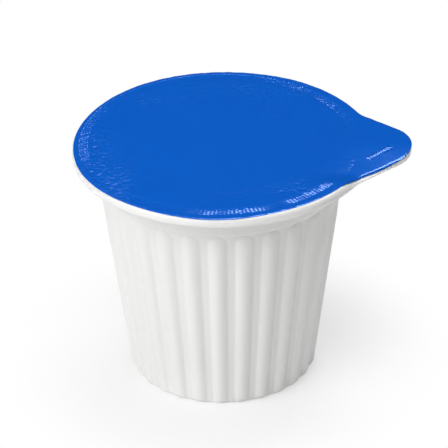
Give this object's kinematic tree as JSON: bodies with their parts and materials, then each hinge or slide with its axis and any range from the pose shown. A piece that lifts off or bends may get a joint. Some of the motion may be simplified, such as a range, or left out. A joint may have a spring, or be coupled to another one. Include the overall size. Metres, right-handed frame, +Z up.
{
  "type": "coffee creamer cup",
  "caption": "Coffee creamer cup: tapered, ribbed plastic cup with a plain collar and a flange, shut by a foil lid with a pull tab.",
  "frame": {"origin": "centre of the base, on the plane that the cup stands on", "axes": "+Z up along the cup's axis, +X towards the tip of the pull tab"},
  "size_m": [0.0442, 0.0386, 0.0326],
  "materials": {
    "cup_plastic": "satin white moulded",
    "lid_foil": "blue lacquered foil"
  },
  "bodies": {
    "root": {"cup": "cup_plastic", "lid": "lid_foil"}
  },
  "joints": []
}
